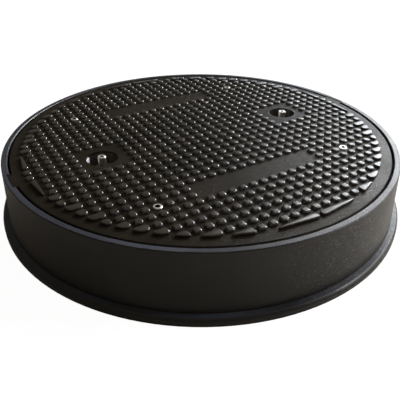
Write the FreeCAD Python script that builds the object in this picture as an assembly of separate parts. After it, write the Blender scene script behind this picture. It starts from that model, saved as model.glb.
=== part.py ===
import FreeCAD, Part
import os
from math import ceil, cos, hypot, pi, radians, sin, sqrt
from FreeCAD import Vector

# Cable pit cover: a studded moulded lid that rests in a moulded round frame.
# Millimetres, +Z up. The origin is the centre of the frame's underside, and
# +X runs through the two lifting sockets.

# Frame
FRAME_HEIGHT = 105.0
RIM_OUTER_R = 330.0
RIM_WIDTH = 9.5
RIM_EDGE = 1.2
WALL_LEAN = 6.0
FLANGE_WIDTH = 11.0
FLANGE_THICKNESS = 12.4
FLANGE_ROUND = 6.0
FLANGE_FALL = 0.8
SEAT_HEIGHT = 30.0
SEAT_WIDTH = 18.5
SEAT_WALL_DRAFT = 2.0
CORE_COUNT = 24
CORE_WIDTH = 50.0
CORE_INNER_WALL = 8.0
CORE_OUTER_WALL = 9.0
CORE_ROOF = 10.0

# Anti-turn lugs of the lid, in notches of the rim
LUG_WIDTH = 40.0
LUG_HEIGHT = 26.0
LUG_REACH = 5.4
LUG_CLEARANCE = 0.8

# Seat gasket
GASKET_THICKNESS = 4.0
GASKET_WIDTH = 12.0
GASKET_SINK = 1.0
GASKET_EDGE = 3.0
GASKET_SIDE_GAP = 0.3

# Lid
LID_GAP = 2.5
LID_STEP = 1.0
LID_EDGE = 1.5
TREAD_SLAB = 8.0
PLATE_THICKNESS = 14.0
SKIRT_THICKNESS = 14.0
SKIRT_DRAFT = 2.6
RIB_PITCH = 57.0
RIB_THICKNESS = 7.0
RIB_HEIGHT = 40.0

# Studs of the tread
STUD_PITCH = 18.0
STUD_BASE = 13.0
STUD_HEIGHT = 4.0
STUD_DRAFT = 1.4
FIELD_MARGIN = 16.5
END_MIN_LENGTH = 9.0
BAR_START = 2.4
SIDE_BAR_START = 20.0
BAR_END_WIDTH = 4.0
BAND_OFFSET = 162.0
BAND_LENGTH = 216.0
BAND_HEIGHT = 36.0

# Lifting sockets
KEY_OFFSET = 183.0
KEY_PATCH = 72.0
KEY_PATCH_OFFSET = 180.0
CUP_R = 25.5
CUP_WALL = 1.2
CUP_DEPTH = 30.0
CUP_CORNER = 7.0
CUP_GAP = 0.3
CUP_BOSS_WALL = 7.0
CUP_FLOOR = 12.0
POST_R = 6.5
POST_BELOW_STUDS = 0.5
POST_BORE_R = 2.5
POST_BORE_DEPTH = 20.0
POST_CHAMFER = 0.8
POST_SHANK_R = 5.0
KEY_WASHER_R = 10.5
KEY_WASHER_THICKNESS = 2.0
KEY_NUT_FLATS = 17.0
KEY_NUT_HEIGHT = 8.0

# Lid screws
SCREW_OFFSET = 9.5 * STUD_PITCH
SCREW_HEAD_R = 6.5
SCREW_HEAD_HEIGHT = 8.0
SCREW_HEAD_EDGE = 0.8
SCREW_BELOW_STUDS = 1.5
SCREW_SOCKET_FLATS = 6.0
SCREW_SOCKET_DEPTH = 4.0
SCREW_R = 4.0
SCREW_BOSS_R = 13.0
SCREW_BOSS_HEIGHT = 42.0
SCREW_WASHER_R = 8.0
SCREW_WASHER_THICKNESS = 1.6
SCREW_NUT_FLATS = 13.0
SCREW_NUT_HEIGHT = 6.8

# Fits
HOLE_CLEARANCE = 0.5
SCREW_RECESS_CLEARANCE = 0.4
BORE_CLEARANCE = 0.3
THREAD_END = 3.0

# Heights and radii that follow
rimInnerR = RIM_OUTER_R - RIM_WIDTH
seatWallR = rimInnerR - SEAT_WALL_DRAFT
clearR = seatWallR - SEAT_WIDTH
wallFootR = RIM_OUTER_R + WALL_LEAN
flangeR = wallFootR + FLANGE_WIDTH
gasketInnerR = clearR + GASKET_EDGE
gasketOuterR = gasketInnerR + GASKET_WIDTH
gasketTop = SEAT_HEIGHT - GASKET_SINK + GASKET_THICKNESS
lidR = rimInnerR - LID_GAP
fieldR = lidR - FIELD_MARGIN
lidTop = FRAME_HEIGHT - LID_STEP
studTop = lidTop + STUD_HEIGHT
slabBottom = lidTop - TREAD_SLAB
plateBottom = lidTop - PLATE_THICKNESS
ribBottom = plateBottom - RIB_HEIGHT
cupBottom = lidTop - CUP_DEPTH
cupFloorBottom = cupBottom - CUP_FLOOR
screwTop = studTop - SCREW_BELOW_STUDS
screwSeat = screwTop - SCREW_HEAD_HEIGHT
screwBossBottom = plateBottom - SCREW_BOSS_HEIGHT


def save(name, shape):
    shape.exportStep("parts/" + name + ".step")
    print(name, "solids", len(shape.Solids), "volume %.0f mm3" % shape.Volume, "valid", shape.isValid())


def revolved(points):
    """Solid of revolution about Z from corner points (radius, height)."""
    corners = [Vector(r, 0, z) for r, z in points]
    outline = Part.makePolygon(corners + corners[:1])
    return Part.Face(outline).revolve(Vector(0, 0, 0), Vector(0, 0, 1), 360)


def cylinder(radius, bottom, top, x=0.0, y=0.0):
    return Part.makeCylinder(radius, top - bottom, Vector(x, y, bottom))


def box(xLow, xHigh, yLow, yHigh, zLow, zHigh):
    return Part.makeBox(xHigh - xLow, yHigh - yLow, zHigh - zLow, Vector(xLow, yLow, zLow))


def hexagon(flats, bottom, top, x=0.0, y=0.0):
    reach = flats / sqrt(3)
    corners = [Vector(x + reach * cos(radians(60 * k)), y + reach * sin(radians(60 * k)), bottom) for k in range(6)]
    return Part.Face(Part.makePolygon(corners + corners[:1])).extrude(Vector(0, 0, top - bottom))


def turned(shape, angle):
    copy = shape.copy()
    copy.rotate(Vector(0, 0, 0), Vector(0, 0, 1), angle)
    return copy


# Frame


def frameProfile():
    """Section of the frame ring: rim, drafted wall, rounded flange and lid seat."""
    roundFoot = flangeR - FLANGE_ROUND
    roundTop = FLANGE_THICKNESS - FLANGE_FALL
    corner = [Vector(clearR, 0, 0), Vector(flangeR, 0, 0), Vector(flangeR, 0, roundTop - FLANGE_ROUND)]
    bend = FLANGE_ROUND * (1 - cos(pi / 4))
    middle = Vector(flangeR - bend, 0, roundTop - bend)
    end = Vector(roundFoot, 0, roundTop)
    wall = [
        end,
        Vector(wallFootR, 0, FLANGE_THICKNESS),
        Vector(RIM_OUTER_R, 0, FRAME_HEIGHT - RIM_EDGE),
        Vector(RIM_OUTER_R - RIM_EDGE, 0, FRAME_HEIGHT),
        Vector(rimInnerR + RIM_EDGE, 0, FRAME_HEIGHT),
        Vector(rimInnerR, 0, FRAME_HEIGHT - RIM_EDGE),
        Vector(seatWallR, 0, SEAT_HEIGHT),
        Vector(gasketOuterR + GASKET_SIDE_GAP, 0, SEAT_HEIGHT),
        Vector(gasketOuterR + GASKET_SIDE_GAP, 0, SEAT_HEIGHT - GASKET_SINK),
        Vector(gasketInnerR - GASKET_SIDE_GAP, 0, SEAT_HEIGHT - GASKET_SINK),
        Vector(gasketInnerR - GASKET_SIDE_GAP, 0, SEAT_HEIGHT),
        Vector(clearR, 0, SEAT_HEIGHT),
        corner[0],
    ]
    edges = [Part.LineSegment(a, b).toShape() for a, b in zip(corner, corner[1:])]
    edges.append(Part.Arc(corner[-1], middle, end).toShape())
    edges += [Part.LineSegment(a, b).toShape() for a, b in zip(wall, wall[1:])]
    return Part.Face(Part.Wire(edges))


def corePocket():
    """One coring pocket of the flange, open below, that leaves a rib beside it."""
    return box(
        clearR + CORE_INNER_WALL,
        wallFootR - CORE_OUTER_WALL,
        -CORE_WIDTH / 2,
        CORE_WIDTH / 2,
        -1.0,
        SEAT_HEIGHT - CORE_ROOF,
    )


def rimNotch():
    half = LUG_WIDTH / 2 + LUG_CLEARANCE
    return box(
        seatWallR,
        lidR + LUG_REACH + LUG_CLEARANCE,
        -half,
        half,
        lidTop - LUG_HEIGHT - LUG_CLEARANCE,
        FRAME_HEIGHT + 1.0,
    )


def makeFrame():
    ring = frameProfile().revolve(Vector(0, 0, 0), Vector(0, 0, 1), 360)
    pockets = [turned(corePocket(), 360.0 / CORE_COUNT * (k + 0.5)) for k in range(CORE_COUNT)]
    notches = [turned(rimNotch(), angle) for angle in (0, 180)]
    return ring.cut(pockets + notches)


def makeGasket():
    bottom = SEAT_HEIGHT - GASKET_SINK
    return revolved([
        (gasketInnerR, bottom),
        (gasketOuterR, bottom),
        (gasketOuterR, gasketTop),
        (gasketInnerR, gasketTop),
    ])


# Tread of the lid


def inset(corners, depth):
    """The corners of a convex outline, anticlockwise, with each side moved inwards."""
    lines = []
    for (x1, y1), (x2, y2) in zip(corners, corners[1:] + corners[:1]):
        length = hypot(x2 - x1, y2 - y1)
        nx, ny = (y1 - y2) / length, (x2 - x1) / length
        lines.append((nx, ny, nx * x1 + ny * y1 + depth))
    moved = []
    for k in range(len(lines)):
        a, b = lines[k - 1], lines[k]
        cross = a[0] * b[1] - a[1] * b[0]
        moved.append(((a[2] * b[1] - b[2] * a[1]) / cross, (a[0] * b[2] - b[0] * a[2]) / cross))
    return moved


def fieldEdge(offset):
    """Half length of the round stud field at this distance from its middle line."""
    return sqrt(fieldR ** 2 - offset ** 2)


def isBare(x, y):
    """True where the tread leaves out a stud: marking bands, socket patches and screws."""
    inBand = abs(y - BAND_OFFSET) < BAND_HEIGHT / 2 and x < BAND_LENGTH / 2
    inPatch = abs(x - KEY_PATCH_OFFSET) < KEY_PATCH / 2 and y < KEY_PATCH / 2
    onScrew = abs(x - SCREW_OFFSET) < STUD_PITCH / 2 and abs(y - SCREW_OFFSET) < STUD_PITCH / 2
    return inBand or inPatch or onScrew


def squareStud(x, y):
    half = STUD_BASE / 2
    return [(x - half, y - half), (x + half, y - half), (x + half, y + half), (x - half, y + half)]


def rowOutlines(y, columns, reachesCircle):
    """Outlines of one row's studs where x is positive: squares, then one cut by the field's circle."""
    half = STUD_BASE / 2
    outlines = []
    for k in range(columns):
        x = (k + 0.5) * STUD_PITCH
        room = fieldEdge(y) - (x + STUD_PITCH - half)
        if reachesCircle and room < END_MIN_LENGTH:
            start = x - half
            low, high = fieldEdge(y - half), fieldEdge(y + half)
            outlines.append([(start, y - half), (low, y - half), (high, y + half), (start, y + half)])
            break
        if not isBare(x, y):
            outlines.append(squareStud(x, y))
    return outlines


def edgeBar(inner, start, finish):
    """Outline of a long bar beyond the last row, with its outer side on the field's circle."""
    return [(start, inner), (finish, inner), (finish, fieldEdge(finish)), (start, fieldEdge(start))]


def mirroredX(corners):
    return [(-x, y) for x, y in reversed(corners)]


def mirroredY(corners):
    return [(x, -y) for x, y in reversed(corners)]


def swapped(corners):
    return [(y, x) for x, y in reversed(corners)]


def treadOutlines():
    """Base outlines of every stud and bar, anticlockwise: one quarter, mirrored twice."""
    rows = int((fieldR - STUD_BASE / 2) / STUD_PITCH)
    barLine = (rows + 0.5) * STUD_PITCH - STUD_BASE / 2
    barEnd = fieldEdge(barLine + BAR_END_WIDTH)
    quarter = []
    for k in range(rows):
        y = (k + 0.5) * STUD_PITCH
        quarter += rowOutlines(y, rows, y > barEnd)
        if y < SIDE_BAR_START:
            quarter.append(squareStud((rows + 0.5) * STUD_PITCH, y))
    quarter.append(edgeBar(barLine, BAR_START, barEnd))
    quarter.append(swapped(edgeBar(barLine, SIDE_BAR_START, barEnd)))
    half = quarter + [mirroredX(corners) for corners in quarter]
    return half + [mirroredY(corners) for corners in half]


def closedWire(corners, height):
    points = [Vector(x, y, height) for x, y in corners]
    return Part.makePolygon(points + points[:1])


def studFaces(corners):
    """Top and tapered sides of one stud."""
    high = inset(corners, STUD_DRAFT)
    faces = [Part.Face(closedWire(high, studTop))]
    for k in range(len(corners)):
        n = (k + 1) % len(corners)
        low = [Vector(*corners[k], lidTop), Vector(*corners[n], lidTop)]
        top = [Vector(*high[n], studTop), Vector(*high[k], studTop)]
        faces.append(Part.Face(Part.makePolygon(low + top + low[:1])))
    return faces


def makeTreadSlab():
    """Top layer of the lid, one closed skin with every stud rising out of its upper face."""
    disc = revolved([
        (0, slabBottom),
        (lidR, slabBottom),
        (lidR, lidTop - LID_EDGE),
        (lidR - LID_EDGE, lidTop),
        (0, lidTop),
    ])
    upper = max(disc.Faces, key=lambda face: face.CenterOfMass.z)
    faces = [face for face in disc.Faces if not face.isSame(upper)]
    outlines = treadOutlines()
    wires = [upper.OuterWire] + [closedWire(corners, lidTop) for corners in outlines]
    faces.append(Part.makeFace(wires, "Part::FaceMakerBullseye"))
    for corners in outlines:
        faces += studFaces(corners)
    skin = Part.Compound(faces)
    skin.sewShape()
    print("studs and bars", len(outlines), "shells", len(skin.Shells))
    return Part.Solid(skin.Shells[0])


# Underside of the lid


def makeSkirt():
    """Plate and drafted skirt below the tread, as a turned shell."""
    plateTop = slabBottom
    skirtBottomR = lidR - SKIRT_DRAFT
    return revolved([
        (0, plateBottom),
        (lidR - SKIRT_THICKNESS, plateBottom),
        (skirtBottomR - SKIRT_THICKNESS, gasketTop),
        (skirtBottomR, gasketTop),
        (lidR, plateTop),
        (0, plateTop),
    ])


def ribGrid():
    """Straight ribs that cross at right angles below the plate and run into the skirt."""
    half = RIB_THICKNESS / 2
    wallMiddle = lidR - SKIRT_DRAFT - SKIRT_THICKNESS / 2
    lines = ceil(wallMiddle / RIB_PITCH - 0.5)
    ribs = []
    for k in range(-lines, lines):
        offset = (k + 0.5) * RIB_PITCH
        if abs(offset) + half < wallMiddle:
            reach = sqrt(wallMiddle ** 2 - (abs(offset) + half) ** 2)
            ribs.append(box(-reach, reach, offset - half, offset + half, ribBottom, slabBottom))
            ribs.append(box(offset - half, offset + half, -reach, reach, ribBottom, slabBottom))
    return ribs


def lug():
    half = LUG_WIDTH / 2
    return box(lidR - SKIRT_THICKNESS, lidR + LUG_REACH, -half, half, lidTop - LUG_HEIGHT, lidTop)


def keyPlaces():
    return [(KEY_OFFSET, 0.0), (-KEY_OFFSET, 0.0)]


def screwPlaces():
    return [(sx * SCREW_OFFSET, sy * SCREW_OFFSET) for sx in (1, -1) for sy in (1, -1)]


def makeLid():
    added = [makeSkirt()] + ribGrid()
    added += [turned(lug(), angle) for angle in (0, 180)]
    removed = []
    for x, y in keyPlaces():
        added.append(cylinder(CUP_R + CUP_BOSS_WALL, cupFloorBottom, slabBottom, x, y))
        removed.append(cylinder(CUP_R + CUP_GAP, cupBottom, lidTop + 1, x, y))
        removed.append(cylinder(POST_SHANK_R + HOLE_CLEARANCE, cupFloorBottom - 1, cupBottom + 1, x, y))
    for x, y in screwPlaces():
        added.append(cylinder(SCREW_BOSS_R, screwBossBottom, slabBottom, x, y))
        removed.append(cylinder(SCREW_R + HOLE_CLEARANCE, screwBossBottom - 1, lidTop, x, y))
        removed.append(cylinder(SCREW_HEAD_R + SCREW_RECESS_CLEARANCE, screwSeat, lidTop + 1, x, y))
    return makeTreadSlab().fuse(added).cut(removed)


# Lifting sockets


def makeCup(x, y):
    """Drawn steel cup: open above, with a conical corner below and a hole for the post."""
    innerR = CUP_R - CUP_WALL
    holeR = POST_SHANK_R + HOLE_CLEARANCE
    floor = cupBottom + CUP_WALL
    lean = CUP_WALL * (sqrt(2) - 1)
    cup = revolved([
        (holeR, cupBottom),
        (CUP_R - CUP_CORNER, cupBottom),
        (CUP_R, cupBottom + CUP_CORNER),
        (CUP_R, lidTop),
        (innerR, lidTop),
        (innerR, cupBottom + CUP_CORNER + lean),
        (CUP_R - CUP_CORNER - lean, floor),
        (holeR, floor),
    ])
    cup.translate(Vector(x, y, 0))
    return cup


def makePost(x, y):
    """Lifting post: a round head with a threaded hole, and a shank through the cup and lid."""
    foot = cupBottom + CUP_WALL
    top = studTop - POST_BELOW_STUDS
    shankEnd = cupFloorBottom - KEY_WASHER_THICKNESS - KEY_NUT_HEIGHT - THREAD_END
    turnedPost = revolved([
        (0, shankEnd),
        (POST_SHANK_R, shankEnd),
        (POST_SHANK_R, foot),
        (POST_R, foot),
        (POST_R, top - POST_CHAMFER),
        (POST_R - POST_CHAMFER, top),
        (POST_BORE_R, top),
        (POST_BORE_R, top - POST_BORE_DEPTH),
        (0, top - POST_BORE_DEPTH),
    ])
    turnedPost.translate(Vector(x, y, 0))
    return turnedPost


def makeWasher(outerR, holeR, top, thickness, x, y):
    return cylinder(outerR, top - thickness, top, x, y).cut(cylinder(holeR, top - thickness - 1, top + 1, x, y))


def makeNut(flats, holeR, top, height, x, y):
    return hexagon(flats, top - height, top, x, y).cut(cylinder(holeR, top - height - 1, top + 1, x, y))


# Lid screws


def makeScrew(x, y):
    """Cap screw with a hexagon socket, its head sunk among the studs."""
    end = screwBossBottom - SCREW_WASHER_THICKNESS - SCREW_NUT_HEIGHT - THREAD_END
    screw = revolved([
        (0, end),
        (SCREW_R, end),
        (SCREW_R, screwSeat),
        (SCREW_HEAD_R, screwSeat),
        (SCREW_HEAD_R, screwTop - SCREW_HEAD_EDGE),
        (SCREW_HEAD_R - SCREW_HEAD_EDGE, screwTop),
        (0, screwTop),
    ])
    screw.translate(Vector(x, y, 0))
    return screw.cut(hexagon(SCREW_SOCKET_FLATS, screwTop - SCREW_SOCKET_DEPTH, screwTop + 1, x, y))


os.makedirs("parts", exist_ok=True)
save("frame", makeFrame())
save("seat_gasket", makeGasket())
save("lid", makeLid())
for number, (x, y) in enumerate(keyPlaces(), 1):
    nutTop = cupFloorBottom - KEY_WASHER_THICKNESS
    boltR = POST_SHANK_R + BORE_CLEARANCE
    save("key_cup_%d" % number, makeCup(x, y))
    save("key_post_%d" % number, makePost(x, y))
    save("key_washer_%d" % number, makeWasher(KEY_WASHER_R, boltR, cupFloorBottom, KEY_WASHER_THICKNESS, x, y))
    save("key_nut_%d" % number, makeNut(KEY_NUT_FLATS, boltR, nutTop, KEY_NUT_HEIGHT, x, y))
for number, (x, y) in enumerate(screwPlaces(), 1):
    nutTop = screwBossBottom - SCREW_WASHER_THICKNESS
    boltR = SCREW_R + BORE_CLEARANCE
    save("lid_screw_%d" % number, makeScrew(x, y))
    save("lid_washer_%d" % number, makeWasher(SCREW_WASHER_R, boltR, screwBossBottom, SCREW_WASHER_THICKNESS, x, y))
    save("lid_nut_%d" % number, makeNut(SCREW_NUT_FLATS, boltR, nutTop, SCREW_NUT_HEIGHT, x, y))
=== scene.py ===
import math
import random

import bmesh
import bpy
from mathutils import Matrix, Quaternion, Vector


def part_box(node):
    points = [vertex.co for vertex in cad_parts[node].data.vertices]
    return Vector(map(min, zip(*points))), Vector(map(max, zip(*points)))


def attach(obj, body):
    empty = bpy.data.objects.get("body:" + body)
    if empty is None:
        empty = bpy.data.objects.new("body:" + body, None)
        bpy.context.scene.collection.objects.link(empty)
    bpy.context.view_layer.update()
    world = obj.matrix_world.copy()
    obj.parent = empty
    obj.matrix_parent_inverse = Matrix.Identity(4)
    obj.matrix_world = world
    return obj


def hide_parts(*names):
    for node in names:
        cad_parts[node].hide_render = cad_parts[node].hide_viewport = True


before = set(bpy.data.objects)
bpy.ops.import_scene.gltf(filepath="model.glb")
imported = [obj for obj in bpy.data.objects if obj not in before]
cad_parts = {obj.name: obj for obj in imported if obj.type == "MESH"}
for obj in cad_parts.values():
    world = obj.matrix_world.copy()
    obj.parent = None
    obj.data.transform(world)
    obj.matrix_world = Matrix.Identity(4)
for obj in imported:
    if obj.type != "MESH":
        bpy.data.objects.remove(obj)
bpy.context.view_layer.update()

print("frame loaded", len(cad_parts), "nodes")

lidLow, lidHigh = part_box("lid")
frameLow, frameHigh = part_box("frame")
cupLow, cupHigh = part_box("key_cup_1")
screwLow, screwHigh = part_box("lid_screw_1")

tread = {
    "pitch": 0.018,
    "base": 0.0130,
    "height": 0.004,
    "fieldRadius": 0.3015,
    "endMinLength": 0.009,
    "topBarStart": 0.0024,
    "sideBarStart": 0.020,
    "barEndWidth": 0.004,
    "bandOffset": 0.162,
    "bandHalf": (0.108, 0.018),
    "patchOffset": 0.180,
    "patchHalf": 0.036,
    "seed": 7,
}
studTop = lidHigh[2]
plateTop = studTop - tread["height"]
keyOffset = (cupLow[0] + cupHigh[0]) / 2
screwOffset = (screwLow[0] + screwHigh[0]) / 2
rimRadius = 0.330


# Shader helpers

def newMaterial(name):
    mat = bpy.data.materials.new(name)
    mat.use_nodes = True
    return mat, mat.node_tree.nodes, mat.node_tree.links, mat.node_tree.nodes["Principled BSDF"]


def newGroup(name, inputs, outputs):
    group = bpy.data.node_groups.new(name, "ShaderNodeTree")
    for label, kind, value in inputs:
        socket = group.interface.new_socket(label, in_out="INPUT", socket_type=kind)
        socket.default_value = value
    for label, kind in outputs:
        group.interface.new_socket(label, in_out="OUTPUT", socket_type=kind)
    return group, group.nodes.new("NodeGroupInput"), group.nodes.new("NodeGroupOutput")


def useGroup(nodes, group, values):
    node = nodes.new("ShaderNodeGroup")
    node.node_tree = group
    for label, value in values.items():
        node.inputs[label].default_value = value
    return node


def objectCoords(nodes):
    return nodes.new("ShaderNodeTexCoord").outputs["Object"]


def coordOf(nodes, links, axis):
    # the X, Y or Z of the object's own coordinates
    split = nodes.new("ShaderNodeSeparateXYZ")
    links.new(objectCoords(nodes), split.inputs[0])
    return split.outputs[axis]


def noiseNode(nodes, links, vector, scale, detail=4.0, roughness=0.6, distortion=0.0):
    node = nodes.new("ShaderNodeTexNoise")
    node.inputs["Scale"].default_value = scale
    node.inputs["Detail"].default_value = detail
    node.inputs["Roughness"].default_value = roughness
    node.inputs["Distortion"].default_value = distortion
    links.new(vector, node.inputs["Vector"])
    return node.outputs["Fac"]


def rangeNode(nodes, links, value, low, high, outLow=0.0, outHigh=1.0):
    node = nodes.new("ShaderNodeMapRange")
    node.inputs["From Min"].default_value = low
    node.inputs["From Max"].default_value = high
    node.inputs["To Min"].default_value = outLow
    node.inputs["To Max"].default_value = outHigh
    links.new(value, node.inputs["Value"])
    return node.outputs["Result"]


def mathNode(nodes, links, operation, a, b=0.0):
    node = nodes.new("ShaderNodeMath")
    node.operation = operation
    for k, value in enumerate((a, b)):
        if isinstance(value, (int, float)):
            node.inputs[k].default_value = value
        else:
            links.new(value, node.inputs[k])
    return node.outputs["Value"]


def mixColour(nodes, links, factor, a, b):
    node = nodes.new("ShaderNodeMix")
    node.data_type = "RGBA"
    if isinstance(factor, (int, float)):
        node.inputs["Factor"].default_value = factor
    else:
        links.new(factor, node.inputs["Factor"])
    for socket, value in ((node.inputs[6], a), (node.inputs[7], b)):
        if isinstance(value, tuple):
            socket.default_value = (*value, 1.0)
        else:
            links.new(value, socket)
    return node.outputs[2]


# Shared effects

def makeGrain():
    # moulded skin: cloudy tone, fine pits, and the height that feeds the bump
    group, source, sink = newGroup(
        "moulded grain",
        [
            ("Cloud Scale", "NodeSocketFloat", 14.0),
            ("Dent Scale", "NodeSocketFloat", 160.0),
            ("Pit Scale", "NodeSocketFloat", 900.0),
        ],
        [("Cloud", "NodeSocketFloat"), ("Pits", "NodeSocketFloat"), ("Height", "NodeSocketFloat")],
    )
    nodes, links = group.nodes, group.links
    coords = objectCoords(nodes)
    cloud = noiseNode(nodes, links, coords, 14.0, 5.0, 0.62)
    links.new(source.outputs["Cloud Scale"], cloud.node.inputs["Scale"])
    pits = noiseNode(nodes, links, coords, 900.0, 3.0, 0.7)
    links.new(source.outputs["Pit Scale"], pits.node.inputs["Scale"])
    middle = noiseNode(nodes, links, coords, 160.0, 4.0, 0.6)
    links.new(source.outputs["Dent Scale"], middle.node.inputs["Scale"])
    height = mathNode(nodes, links, "ADD", mathNode(nodes, links, "MULTIPLY", pits, 0.6), middle)
    links.new(cloud, sink.inputs["Cloud"])
    links.new(pits, sink.inputs["Pits"])
    links.new(height, sink.inputs["Height"])
    return group


def makeScuffs():
    # sparse pale flecks and short rubbed streaks
    group, source, sink = newGroup(
        "scuffs",
        [
            ("Fleck Scale", "NodeSocketFloat", 260.0),
            ("Amount", "NodeSocketFloat", 0.3),
            ("Stretch", "NodeSocketVector", (1.0, 1.0, 1.0)),
        ],
        [("Mask", "NodeSocketFloat")],
    )
    nodes, links = group.nodes, group.links
    coords = objectCoords(nodes)
    stretch = nodes.new("ShaderNodeVectorMath")
    stretch.operation = "MULTIPLY"
    links.new(coords, stretch.inputs[0])
    links.new(source.outputs["Stretch"], stretch.inputs[1])
    flecks = noiseNode(nodes, links, stretch.outputs["Vector"], 260.0, 6.0, 0.75)
    links.new(source.outputs["Fleck Scale"], flecks.node.inputs["Scale"])
    spots = rangeNode(nodes, links, flecks, 0.58, 0.68)
    patches = rangeNode(nodes, links, noiseNode(nodes, links, coords, 9.0, 3.0, 0.5), 0.36, 0.58)
    mask = mathNode(nodes, links, "MULTIPLY", spots, patches)
    mask = mathNode(nodes, links, "MULTIPLY", mask, source.outputs["Amount"])
    links.new(mask, sink.inputs["Mask"])
    return group


grainGroup = makeGrain()
scuffGroup = makeScuffs()


def heightOf(nodes, links, low, high):
    # 0 at the height low and 1 at the height high, from the object's own Z
    return rangeNode(nodes, links, coordOf(nodes, links, "Z"), low, high)


def distanceFrom(nodes, links, x, y):
    # distance in plan from the nearest of the mirrored places (x, y)
    squares = []
    for axis, offset in (("X", x), ("Y", y)):
        folded = mathNode(nodes, links, "ABSOLUTE", coordOf(nodes, links, axis))
        away = mathNode(nodes, links, "SUBTRACT", folded, offset)
        squares.append(mathNode(nodes, links, "MULTIPLY", away, away))
    return mathNode(nodes, links, "SQRT", mathNode(nodes, links, "ADD", *squares))


def facingUp(nodes, links):
    split = nodes.new("ShaderNodeSeparateXYZ")
    links.new(nodes.new("ShaderNodeNewGeometry").outputs["Normal"], split.inputs[0])
    return split.outputs["Z"]


def bumpInto(nodes, links, shader, height, strength, distance):
    bump = nodes.new("ShaderNodeBump")
    bump.inputs["Strength"].default_value = strength
    bump.inputs["Distance"].default_value = distance
    links.new(height, bump.inputs["Height"])
    links.new(bump.outputs["Normal"], shader.inputs["Normal"])


def makeComposite(name, look):
    mat, nodes, links, shader = newMaterial(name)
    grain = useGroup(nodes, grainGroup, look["grain"])
    scuffs = useGroup(nodes, scuffGroup, look["scuffs"])
    tone = rangeNode(nodes, links, grain.outputs["Cloud"], 0.3, 0.6, 0.4, 1.0)
    base = mixColour(nodes, links, tone, look["dark"], look["pale"])
    if "dustBelow" in look:
        dusty = mathNode(nodes, links, "SUBTRACT", 1.0, heightOf(nodes, links, *look["dustBelow"]))
        drift = rangeNode(nodes, links, grain.outputs["Cloud"], 0.35, 0.75, 0.25, 0.9)
        dusty = mathNode(nodes, links, "MULTIPLY", dusty, drift)
        base = mixColour(nodes, links, dusty, base, look["dust"])
    rough = rangeNode(nodes, links, grain.outputs["Cloud"], 0.25, 0.75, *look["roughness"])
    if "levelTop" in look:
        # level faces are painted paler and duller than the sides; on the frame the pale bluish tone is partly
        # a paler finish, partly a painted sky reflection
        level = rangeNode(nodes, links, facingUp(nodes, links), 0.93, 0.995)
        paler = mathNode(nodes, links, "MULTIPLY", level, tone)
        base = mixColour(nodes, links, paler, base, look["levelTop"])
        extra = mathNode(nodes, links, "MULTIPLY", level, look["levelDull"])
        rough = mathNode(nodes, links, "ADD", rough, extra)
        shine = rangeNode(nodes, links, level, 0.0, 1.0, *look["sideToTop"])
        links.new(shine, shader.inputs["Specular IOR Level"])
    else:
        shader.inputs["Specular IOR Level"].default_value = look["specular"]
    if "chips" in look:
        # nicks along the outer edge of the rim
        edge = rangeNode(nodes, links, distanceFrom(nodes, links, 0.0, 0.0), *look["chips"])
        upper = heightOf(nodes, links, frameHigh[2] - 0.003, frameHigh[2] - 0.001)
        edge = mathNode(nodes, links, "MULTIPLY", edge, upper)
        broken = noiseNode(nodes, links, objectCoords(nodes), look["nickScale"], 3.0, 0.6)
        nicks = rangeNode(nodes, links, broken, 0.56, 0.60)
        base = mixColour(nodes, links, mathNode(nodes, links, "MULTIPLY", edge, nicks), base, look["dark"])
    # flecks, and the pale outer pad tops below, are painted only towards +X
    markedSide = rangeNode(nodes, links, coordOf(nodes, links, "X"), *look["markedSide"])
    flecks = mathNode(nodes, links, "MULTIPLY", scuffs.outputs["Mask"], markedSide)
    base = mixColour(nodes, links, flecks, base, look["fleck"])
    if "rubbedAndSheen" in look:
        # the outer pad tops towards +X are painted pale and bluish: partly rubbed wear, partly a painted
        # sheen
        outer = rangeNode(nodes, links, distanceFrom(nodes, links, 0.0, 0.0), *look["rubbedAndSheen"])
        outer = mathNode(nodes, links, "MULTIPLY", outer, mathNode(nodes, links, "MULTIPLY", level, markedSide))
        outer = mathNode(nodes, links, "MULTIPLY", outer, tone)
        base = mixColour(nodes, links, outer, base, look["rubbedAndSheenTone"])
    if "dimple" in look:
        # a small moulded ring mark on the rim
        away = nodes.new("ShaderNodeVectorMath")
        away.operation = "DISTANCE"
        away.inputs[1].default_value = look["dimple"]
        links.new(objectCoords(nodes), away.inputs[0])
        inside, outside = look["dimpleRing"]
        inner = rangeNode(nodes, links, away.outputs["Value"], *inside)
        outer = rangeNode(nodes, links, away.outputs["Value"], *outside, 1.0, 0.0)
        ring = mathNode(nodes, links, "MULTIPLY", inner, outer)
        base = mixColour(nodes, links, mathNode(nodes, links, "MULTIPLY", ring, 0.8), base, look["dark"])
    links.new(base, shader.inputs["Base Color"])
    worn = mathNode(nodes, links, "MULTIPLY", flecks, 0.2)
    links.new(mathNode(nodes, links, "ADD", rough, worn), shader.inputs["Roughness"])
    shader.inputs["IOR"].default_value = look["ior"]
    bumpInto(nodes, links, shader, grain.outputs["Height"], look["bump"], look["bumpDepth"])
    return mat


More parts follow.
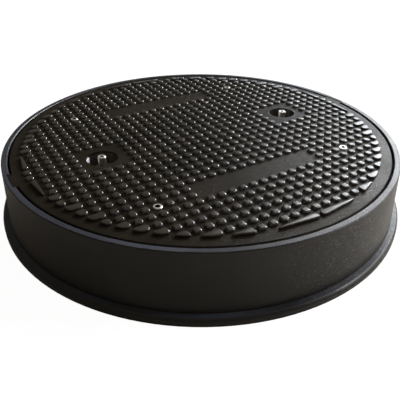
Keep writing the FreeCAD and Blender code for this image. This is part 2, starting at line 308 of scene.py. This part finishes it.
lidLook = {
    "grain": {"Cloud Scale": 11.0, "Dent Scale": 230.0, "Pit Scale": 800.0},
    "scuffs": {"Fleck Scale": 560.0, "Amount": 0.75},
    "fleck": (0.50, 0.48, 0.45), "markedSide": (-0.40, 0.15),
    "dark": (0.0080, 0.0067, 0.0046), "pale": (0.016, 0.0132, 0.0092),
    "dust": (0.020, 0.0155, 0.0102), "dustBelow": (plateTop, plateTop + 0.0025),
    "roughness": (0.34, 0.54), "ior": 1.5, "specular": 0.05, "bump": 0.75, "bumpDepth": 0.0005,
}
studLook = {
    "grain": {"Cloud Scale": 11.0, "Dent Scale": 260.0, "Pit Scale": 700.0},
    "scuffs": {"Fleck Scale": 330.0, "Amount": 0.5},
    "fleck": (0.30, 0.28, 0.26), "markedSide": (-0.05, 0.12),
    # the pale bluish outer pad tops are partly rubbed wear, partly a painted sheen
    "rubbedAndSheen": (0.268, 0.284), "rubbedAndSheenTone": (0.19, 0.20, 0.225),
    "dark": (0.0095, 0.0082, 0.0064), "pale": (0.018, 0.0155, 0.012),
    "levelTop": (0.048, 0.041, 0.032), "levelDull": 0.14,
    "roughness": (0.15, 0.22), "ior": 1.5, "sideToTop": (1.0, 0.20), "bump": 0.7, "bumpDepth": 0.0004,
}
frameLook = {
    "grain": {"Cloud Scale": 7.0, "Dent Scale": 170.0, "Pit Scale": 900.0},
    "scuffs": {"Fleck Scale": 560.0, "Amount": 1.0, "Stretch": (1.0, 1.0, 1.3)},
    "fleck": (0.80, 0.80, 0.80), "markedSide": (-0.14, 0.06),
    "chips": (rimRadius - 0.0026, rimRadius - 0.0012), "nickScale": 130.0,
    "dimple": (-0.083, -0.312, frameHigh[2]), "dimpleRing": ((0.0020, 0.0028), (0.0034, 0.0042)),
    "dark": (0.0056, 0.0044, 0.0027), "pale": (0.0096, 0.0076, 0.0050),
    # the frame's pale bluish level faces are partly a paler finish, partly a painted sky reflection
    "levelTop": (0.054, 0.060, 0.076), "levelDull": 0.0,
    "roughness": (0.36, 0.52), "ior": 1.5, "sideToTop": (0.42, 0.17), "bump": 0.45, "bumpDepth": 0.0002,
}
lidMaterial = makeComposite("lid plate composite", lidLook)
studMaterial = makeComposite("stud composite", studLook)
frameMaterial = makeComposite("frame composite", frameLook)


def makeSteel(name, look):
    mat, nodes, links, shader = newMaterial(name)
    streaks = noiseNode(nodes, links, objectCoords(nodes), look["brushScale"], 5.0, 0.7)
    tone = rangeNode(nodes, links, streaks, 0.3, 0.7)
    colour = mixColour(nodes, links, tone, look["dark"], look["pale"])
    if "shadedCentre" in look:
        # painted shade: the recess in the middle is coloured near black
        x, y, radius = look["shadedCentre"]
        away = distanceFrom(nodes, links, x, y)
        deep = rangeNode(nodes, links, away, radius * 0.85, radius * 1.1, 1.0, 0.0)
        colour = mixColour(nodes, links, deep, colour, look["centreShade"])
    if "paintedLightPatch" in look:
        # a painted pool of light: a pale patch on one side of each cup's wall, where the lit part of the wall
        # would be
        spot, wide = look["paintedLightPatch"], look["paintedLightPatchSize"]
        x = mathNode(nodes, links, "SUBTRACT", coordOf(nodes, links, "X"), spot[0])
        x = mathNode(nodes, links, "SUBTRACT", mathNode(nodes, links, "ABSOLUTE", x), keyOffset)
        y = mathNode(nodes, links, "SUBTRACT", coordOf(nodes, links, "Y"), spot[1])
        z = mathNode(nodes, links, "SUBTRACT", coordOf(nodes, links, "Z"), spot[2])
        square = mathNode(nodes, links, "MULTIPLY", x, x)
        for side in (y, z):
            square = mathNode(nodes, links, "ADD", square, mathNode(nodes, links, "MULTIPLY", side, side))
        away = mathNode(nodes, links, "SQRT", square)
        paintedLightPatch = rangeNode(nodes, links, away, wide * 0.8, wide, 1.0, 0.0)
        colour = mixColour(nodes, links, paintedLightPatch, colour, look["paintedLightPatchColour"])
        links.new(mathNode(nodes, links, "SUBTRACT", 1.0, paintedLightPatch), shader.inputs["Metallic"])
    if "lip" in look:
        # the level lip at the top of the cup is coloured darker
        low, high, lipColour = look["lip"]
        colour = mixColour(nodes, links, heightOf(nodes, links, low, high), colour, lipColour)
    links.new(colour, shader.inputs["Base Color"])
    rough = rangeNode(nodes, links, streaks, 0.3, 0.7, *look["roughness"])
    links.new(rough, shader.inputs["Roughness"])
    if "topMetallic" in look:
        # the level top is less metallic than the side
        level = rangeNode(nodes, links, facingUp(nodes, links), 0.80, 0.98, 1.0, look["topMetallic"])
        links.new(level, shader.inputs["Metallic"])
    elif "paintedLightPatch" not in look:
        shader.inputs["Metallic"].default_value = 1.0
    bumpInto(nodes, links, shader, streaks, 0.2, 0.0001)
    return mat


postLook = {
    "dark": (0.52, 0.48, 0.41), "pale": (0.74, 0.70, 0.62), "topMetallic": 0.35,
    "roughness": (0.28, 0.42), "brushScale": 420.0,
    # the near-black centre of the post is painted shade in its recess
    "shadedCentre": (keyOffset, 0.0, 0.0031), "centreShade": (0.010, 0.009, 0.008),
}
screwLook = {
    "dark": (0.52, 0.49, 0.44), "pale": (0.72, 0.70, 0.65), "topMetallic": 0.45,
    "roughness": (0.28, 0.42), "brushScale": 420.0,
    # the near-black centre of the screw head is painted shade in its recess
    "shadedCentre": (screwOffset, screwOffset, 0.0040), "centreShade": (0.010, 0.009, 0.008),
}
nutLook = {
    "dark": (0.60, 0.58, 0.54), "pale": (0.78, 0.76, 0.72),
    "roughness": (0.24, 0.38), "brushScale": 420.0,
}
cupLook = {
    "dark": (0.11, 0.105, 0.085), "pale": (0.22, 0.215, 0.185),
    # the pale patch on the cup's wall is a painted pool of light
    "paintedLightPatch": (-0.0212, 0.0130, studTop - 0.012), "paintedLightPatchSize": 0.0105, "paintedLightPatchColour": (0.85, 0.86, 0.90),
    "roughness": (0.30, 0.46), "brushScale": 160.0,
    "lip": (cupHigh[2] - 0.0030, cupHigh[2] - 0.0012, (0.030, 0.027, 0.022)),
}
postMaterial = makeSteel("lifting post steel", postLook)
screwMaterial = makeSteel("cap screw steel", screwLook)
nutMaterial = makeSteel("nut and washer steel", nutLook)
cupMaterial = makeSteel("drawn cup steel", cupLook)


def makeRubber():
    mat, nodes, links, shader = newMaterial("gasket rubber")
    grain = useGroup(nodes, grainGroup, {"Cloud Scale": 25.0, "Pit Scale": 1200.0})
    base = mixColour(nodes, links, grain.outputs["Cloud"], (0.012, 0.012, 0.012), (0.024, 0.023, 0.022))
    links.new(base, shader.inputs["Base Color"])
    rough = rangeNode(nodes, links, grain.outputs["Pits"], 0.3, 0.7, 0.65, 0.85)
    links.new(rough, shader.inputs["Roughness"])
    bumpInto(nodes, links, shader, grain.outputs["Height"], 0.3, 0.0002)
    return mat


rubberMaterial = makeRubber()
print("materials made")


def dress(node, mat):
    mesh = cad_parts[node].data
    if not mesh.materials:
        mesh.materials.append(mat)
    for k in range(len(mesh.materials)):
        mesh.materials[k] = mat


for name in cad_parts:
    if name.startswith("key_cup"):
        dress(name, cupMaterial)
    elif name.startswith("key_post"):
        dress(name, postMaterial)
    elif name.startswith("lid_screw"):
        dress(name, screwMaterial)
    elif name.startswith(("key_", "lid_")):
        dress(name, nutMaterial)
dress("frame", frameMaterial)
dress("lid", lidMaterial)
dress("seat_gasket", rubberMaterial)


# Tread layout

def fieldEdge(offset):
    return math.sqrt(tread["fieldRadius"] ** 2 - offset ** 2)


def isBare(x, y):
    inBand = abs(y - tread["bandOffset"]) < tread["bandHalf"][1] and x < tread["bandHalf"][0]
    inPatch = abs(x - tread["patchOffset"]) < tread["patchHalf"] and y < tread["patchHalf"]
    onScrew = max(abs(x - screwOffset), abs(y - screwOffset)) < tread["pitch"] / 2
    return inBand or inPatch or onScrew


def layTread():
    # one quarter: centres of the square studs, and outlines of the cut end studs and long bars
    pitch, half = tread["pitch"], tread["base"] / 2
    rows = int((tread["fieldRadius"] - half) / pitch)
    barLine = (rows + 0.5) * pitch - half
    barEnd = fieldEdge(barLine + tread["barEndWidth"])
    centres, outlines = [], []
    for k in range(rows):
        y = (k + 0.5) * pitch
        for n in range(rows):
            x = (n + 0.5) * pitch
            if y > barEnd and fieldEdge(y) - (x + pitch - half) < tread["endMinLength"]:
                start, low, high = x - half, fieldEdge(y - half), fieldEdge(y + half)
                outlines.append([(start, y - half), (low, y - half), (high, y + half), (start, y + half)])
                break
            if not isBare(x, y):
                centres.append((x, y))
        if y < tread["sideBarStart"]:
            centres.append(((rows + 0.5) * pitch, y))
    for start, turned in ((tread["topBarStart"], False), (tread["sideBarStart"], True)):
        bar = [(start, barLine), (barEnd, barLine), (barEnd, fieldEdge(barEnd)), (start, fieldEdge(start))]
        outlines.append([(y, x) for x, y in reversed(bar)] if turned else bar)
    return centres, outlines


def mirrored(corners, sx, sy):
    moved = [(sx * x, sy * y) for x, y in corners]
    return moved if sx * sy > 0 else moved[::-1]


def insetOutline(corners, depth):
    lines = []
    for (x1, y1), (x2, y2) in zip(corners, corners[1:] + corners[:1]):
        length = math.hypot(x2 - x1, y2 - y1)
        nx, ny = (y1 - y2) / length, (x2 - x1) / length
        lines.append((nx, ny, nx * x1 + ny * y1 + depth))
    moved = []
    for k in range(len(lines)):
        a, b = lines[k - 1], lines[k]
        cross = a[0] * b[1] - a[1] * b[0]
        moved.append(((a[2] * b[1] - b[2] * a[1]) / cross, (a[0] * b[2] - b[0] * a[2]) / cross))
    return moved


def roundedOutline(corners, radius, steps=3):
    # each corner becomes a short run of points on a soft curve
    points = []
    count = len(corners)
    for k in range(count):
        here = Vector(corners[k])
        before = Vector(corners[k - 1])
        after = Vector(corners[(k + 1) % count])
        reach = min(radius, (before - here).length * 0.45, (after - here).length * 0.45)
        a = here + (before - here).normalized() * reach
        b = here + (after - here).normalized() * reach
        for s in range(steps + 1):
            t = s / steps
            points.append(tuple(a * (1 - t) ** 2 + here * 2 * t * (1 - t) + b * t ** 2))
    return points


# height above the plate and inset from the base outline, ring by ring
pad = {
    "rings": [
        (-0.0006, 0.0003), (0.0002, 0.0004), (0.0020, 0.0008), (0.0030, 0.0012),
        (0.0036, 0.0019), (0.0039, 0.0027), (0.0040, 0.0036),
    ],
    "studCorner": 0.0047,
    "barCorner": 0.0095,
    "barShare": 0.48,
}


def addPad(bm, corners, cornerRadius, share=1.0):
    # a raised pad on the plate: steep sides, a rounded shoulder and a flat top
    rings = []
    for height, inset in pad["rings"]:
        depth = inset * share
        points = roundedOutline(insetOutline(corners, depth), max(cornerRadius - depth, 0.0006))
        rings.append([bm.verts.new((x, y, height)) for x, y in points])
    for low, high in zip(rings, rings[1:]):
        for k in range(len(low)):
            n = (k + 1) % len(low)
            bm.faces.new((low[k], low[n], high[n], high[k]))
    bm.faces.new(rings[-1])
    bm.faces.new(rings[0][::-1])


def meshObject(name, bm, mat, smooth=True):
    mesh = bpy.data.meshes.new(name)
    bm.to_mesh(mesh)
    bm.free()
    mesh.materials.append(mat)
    for face in mesh.polygons:
        face.use_smooth = smooth
    obj = bpy.data.objects.new(name, mesh)
    bpy.context.scene.collection.objects.link(obj)
    return obj


def geometryTree(name, inputs):
    tree = bpy.data.node_groups.new(name, "GeometryNodeTree")
    tree.interface.new_socket("Geometry", in_out="INPUT", socket_type="NodeSocketGeometry")
    sockets = {}
    for label, kind, value in inputs:
        socket = tree.interface.new_socket(label, in_out="INPUT", socket_type=kind)
        if value is not None:
            socket.default_value = value
        sockets[label] = socket.identifier
    tree.interface.new_socket("Geometry", in_out="OUTPUT", socket_type="NodeSocketGeometry")
    return tree, sockets


def makeStudTree():
    # places the stud on every point of the lattice, each with its own slight moulding error
    tree, sockets = geometryTree("stud field", [
        ("Stud", "NodeSocketObject", None),
        ("Material", "NodeSocketMaterial", None),
        ("Turn", "NodeSocketFloat", 0.05),
        ("Size Spread", "NodeSocketFloat", 0.02),
        ("Height", "NodeSocketFloat", 0.1),
        ("Seed", "NodeSocketInt", 0),
    ])
    nodes, links = tree.nodes, tree.links
    source = nodes.new("NodeGroupInput")
    sink = nodes.new("NodeGroupOutput")
    info = nodes.new("GeometryNodeObjectInfo")
    place = nodes.new("GeometryNodeInstanceOnPoints")
    turn = nodes.new("FunctionNodeRandomValue")
    size = nodes.new("FunctionNodeRandomValue")
    spin = nodes.new("ShaderNodeCombineXYZ")
    lift = nodes.new("GeometryNodeSetPosition")
    up = nodes.new("ShaderNodeCombineXYZ")
    negate = nodes.new("ShaderNodeMath")
    negate.operation = "MULTIPLY"
    negate.inputs[1].default_value = -1.0
    smaller = nodes.new("ShaderNodeMath")
    smaller.operation = "SUBTRACT"
    smaller.inputs[0].default_value = 1.0
    links.new(source.outputs["Stud"], info.inputs["Object"])
    links.new(source.outputs["Geometry"], lift.inputs["Geometry"])
    links.new(source.outputs["Height"], up.inputs["Z"])
    links.new(up.outputs["Vector"], lift.inputs["Offset"])
    links.new(lift.outputs["Geometry"], place.inputs["Points"])
    links.new(info.outputs["Geometry"], place.inputs["Instance"])
    links.new(source.outputs["Turn"], negate.inputs[0])
    links.new(negate.outputs["Value"], turn.inputs[2])
    links.new(source.outputs["Turn"], turn.inputs[3])
    links.new(source.outputs["Seed"], turn.inputs["Seed"])
    links.new(turn.outputs[1], spin.inputs["Z"])
    links.new(spin.outputs["Vector"], place.inputs["Rotation"])
    links.new(source.outputs["Size Spread"], smaller.inputs[1])
    links.new(smaller.outputs["Value"], size.inputs[2])
    size.inputs[3].default_value = 1.0
    links.new(source.outputs["Seed"], size.inputs["Seed"])
    links.new(size.outputs[1], place.inputs["Scale"])
    realize = nodes.new("GeometryNodeRealizeInstances")
    paint = nodes.new("GeometryNodeSetMaterial")
    links.new(place.outputs["Instances"], realize.inputs["Geometry"])
    links.new(realize.outputs["Geometry"], paint.inputs["Geometry"])
    links.new(source.outputs["Material"], paint.inputs["Material"])
    links.new(paint.outputs["Geometry"], sink.inputs["Geometry"])
    return tree, sockets


def grown(name, base, tree, sockets, values):
    # runs a tree on the base object and keeps the result as a plain mesh
    modifier = base.modifiers.new("grow", "NODES")
    modifier.node_group = tree
    for label, value in values.items():
        modifier[sockets[label]] = value
    graph = bpy.context.evaluated_depsgraph_get()
    mesh = bpy.data.meshes.new_from_object(base.evaluated_get(graph))
    base.modifiers.clear()
    obj = bpy.data.objects.new(name, mesh)
    bpy.context.scene.collection.objects.link(obj)
    bpy.data.objects.remove(base)
    return obj


def makeStudField():
    centres, outlines = layTread()
    quadrants = [(1, 1), (-1, 1), (-1, -1), (1, -1)]
    points = [(sx * x, sy * y) for sx, sy in quadrants for x, y in centres]
    half = tread["base"] / 2
    studMesh = bmesh.new()
    addPad(studMesh, [(-half, -half), (half, -half), (half, half), (-half, half)], pad["studCorner"])
    stud = meshObject("stud_form", studMesh, studMaterial)
    base = bpy.data.meshes.new("stud_places")
    base.from_pydata([(x, y, 0.0) for x, y in points], [], [])
    places = bpy.data.objects.new("stud_places", base)
    bpy.context.scene.collection.objects.link(places)
    tree, sockets = makeStudTree()
    field = grown("lid_studs", places, tree, sockets, {
        "Stud": stud, "Material": studMaterial, "Turn": 0.03, "Size Spread": 0.03,
        "Height": plateTop, "Seed": tread["seed"],
    })
    bpy.data.objects.remove(stud)
    bars = bmesh.new()
    for sx, sy in quadrants:
        for outline in outlines:
            addPad(bars, mirrored(outline, sx, sy), pad["barCorner"], pad["barShare"])
    bmesh.ops.translate(bars, vec=(0, 0, plateTop), verts=bars.verts)
    bars = meshObject("lid_edge_bars", bars, studMaterial)
    print("tread", len(points), "studs", len(outlines) * 4, "end studs and bars")
    return field, bars


def makeLidPlate():
    # the lid without its tread: the studs are cut away and their seats closed
    bm = bmesh.new()
    bm.from_mesh(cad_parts["lid"].data)
    bmesh.ops.remove_doubles(bm, verts=bm.verts, dist=1e-6)
    above = [v for v in bm.verts if v.co.z > plateTop + 1e-4]
    bmesh.ops.delete(bm, geom=above, context="VERTS")
    openEdges = [e for e in bm.edges if e.is_boundary]
    bmesh.ops.holes_fill(bm, edges=openEdges, sides=8)
    bmesh.ops.dissolve_limit(bm, angle_limit=math.radians(0.5), verts=bm.verts, edges=bm.edges)
    bmesh.ops.recalc_face_normals(bm, faces=bm.faces)
    plate = meshObject("lid_plate", bm, lidMaterial, smooth=False)
    return plate


studField, edgeBars = makeStudField()
lidPlate = makeLidPlate()
for piece in (studField, edgeBars, lidPlate):
    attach(piece, "root")
    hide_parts("lid")


# Stage, light and camera

stage = {
    "floorSize": 12.0, "floorColour": (0.80, 0.76, 0.70), "floorGlow": 0.965, "floorShade": 0.12,
    "worldColour": (1.0, 0.91, 0.78), "worldStrength": 0.12, "glossyShare": 0.03,
}


def makeFloor():
    bm = bmesh.new()
    bmesh.ops.create_grid(bm, x_segments=1, y_segments=1, size=stage["floorSize"])
    mat, nodes, links, shader = newMaterial("pale floor")
    shader.inputs["Base Color"].default_value = (*stage["floorColour"], 1.0)
    shader.inputs["Roughness"].default_value = 0.9
    out = nodes["Material Output"]
    glow = nodes.new("ShaderNodeEmission")
    glow.inputs["Color"].default_value = (1.0, 1.0, 1.0, 1.0)
    glow.inputs["Strength"].default_value = stage["floorGlow"]
    shade = nodes.new("ShaderNodeBsdfDiffuse")
    shade.inputs["Color"].default_value = (*[stage["floorShade"]] * 3, 1.0)
    add = nodes.new("ShaderNodeAddShader")
    path = nodes.new("ShaderNodeLightPath")
    pick = nodes.new("ShaderNodeMixShader")
    links.new(shade.outputs["BSDF"], add.inputs[0])
    links.new(glow.outputs["Emission"], add.inputs[1])
    links.new(path.outputs["Is Camera Ray"], pick.inputs["Fac"])
    links.new(shader.outputs["BSDF"], pick.inputs[1])
    links.new(add.outputs["Shader"], pick.inputs[2])
    links.new(pick.outputs["Shader"], out.inputs["Surface"])
    floor = meshObject("floor", bm, mat, smooth=False)


def makeWorld():
    world = bpy.data.worlds.new("studio")
    bpy.context.scene.world = world
    world.use_nodes = True
    nodes, links = world.node_tree.nodes, world.node_tree.links
    soft = nodes["Background"]
    soft.inputs["Color"].default_value = (*stage["worldColour"], 1.0)
    soft.inputs["Strength"].default_value = stage["worldStrength"]
    white = nodes.new("ShaderNodeBackground")
    white.inputs["Color"].default_value = (1.0, 1.0, 1.0, 1.0)
    white.inputs["Strength"].default_value = 1.0
    path = nodes.new("ShaderNodeLightPath")
    pick = nodes.new("ShaderNodeMixShader")
    # glossy rays get a small share of the white backdrop: with all of it the dark side renders paler
    shown = mathNode(nodes, links, "MULTIPLY", path.outputs["Is Glossy Ray"], stage["glossyShare"])
    shown = mathNode(nodes, links, "ADD", shown, path.outputs["Is Camera Ray"])
    shown = mathNode(nodes, links, "ADD", shown, path.outputs["Is Transmission Ray"])
    links.new(shown, pick.inputs["Fac"])
    links.new(soft.outputs["Background"], pick.inputs[1])
    links.new(white.outputs["Background"], pick.inputs[2])
    links.new(pick.outputs["Shader"], nodes["World Output"].inputs["Surface"])


def polar(azimuth, elevation, distance):
    # azimuth 0 lies along -Y, as the camera's does
    a, e = math.radians(azimuth), math.radians(elevation)
    return Vector((math.sin(a) * math.cos(e), -math.cos(a) * math.cos(e), math.sin(e))) * distance


def makeLamp(name, azimuth, elevation, distance, size, power, colour):
    data = bpy.data.lights.new(name, "AREA")
    data.shape = "RECTANGLE"
    data.size, data.size_y = size
    data.energy = power
    data.color = colour
    lamp = bpy.data.objects.new(name, data)
    bpy.context.scene.collection.objects.link(lamp)
    lamp.location = polar(azimuth, elevation, distance)
    lamp.rotation_euler = (-lamp.location).to_track_quat("-Z", "Y").to_euler()


# name, azimuth, elevation, distance, size, power and colour of each lamp
lamps = [
    ("back window", 116.0, 25.0, 3.2, (2.2, 1.0), 38.0, (0.72, 0.86, 1.0)),
    ("bright pane", 120.0, 35.0, 3.0, (0.45, 0.45), 40.0, (1.0, 0.94, 0.87)),
    ("low pane", 112.0, 15.0, 3.0, (0.5, 0.4), 40.0, (0.94, 0.97, 1.0)),
    ("side window", 88.0, 24.0, 3.0, (0.6, 0.6), 45.0, (1.0, 0.98, 0.95)),
    ("door", 58.0, 30.0, 3.0, (0.5, 0.8), 34.0, (0.95, 0.97, 1.0)),
    ("sky", -40.0, 80.0, 3.0, (3.0, 3.0), 6.0, (1.0, 0.97, 0.93)),
]


view = {
    "azimuth": -31.439, "elevation": 24.538, "distance": 0.8148,
    "aim": (0.0049, 0.0098, -0.0426), "roll": 0.213, "lens": 41.352,
}


def makeCamera():
    rimTop = Vector((0, 0, frameHigh[2]))
    data = bpy.data.cameras.new("view")
    data.sensor_width = 36.0
    data.lens = view["lens"]
    camera = bpy.data.objects.new("view", data)
    bpy.context.scene.collection.objects.link(camera)
    camera.location = rimTop + polar(view["azimuth"], view["elevation"], view["distance"])
    aim = Vector(view["aim"]) - camera.location
    roll = Quaternion((0.0, 0.0, 1.0), math.radians(view["roll"]))
    camera.rotation_mode = "QUATERNION"
    camera.rotation_quaternion = aim.to_track_quat("-Z", "Y") @ roll
    bpy.context.scene.camera = camera


makeFloor()
makeWorld()
for lamp in lamps:
    makeLamp(*lamp)
makeCamera()
bpy.context.scene.view_settings.view_transform = "Standard"
print("stage set")
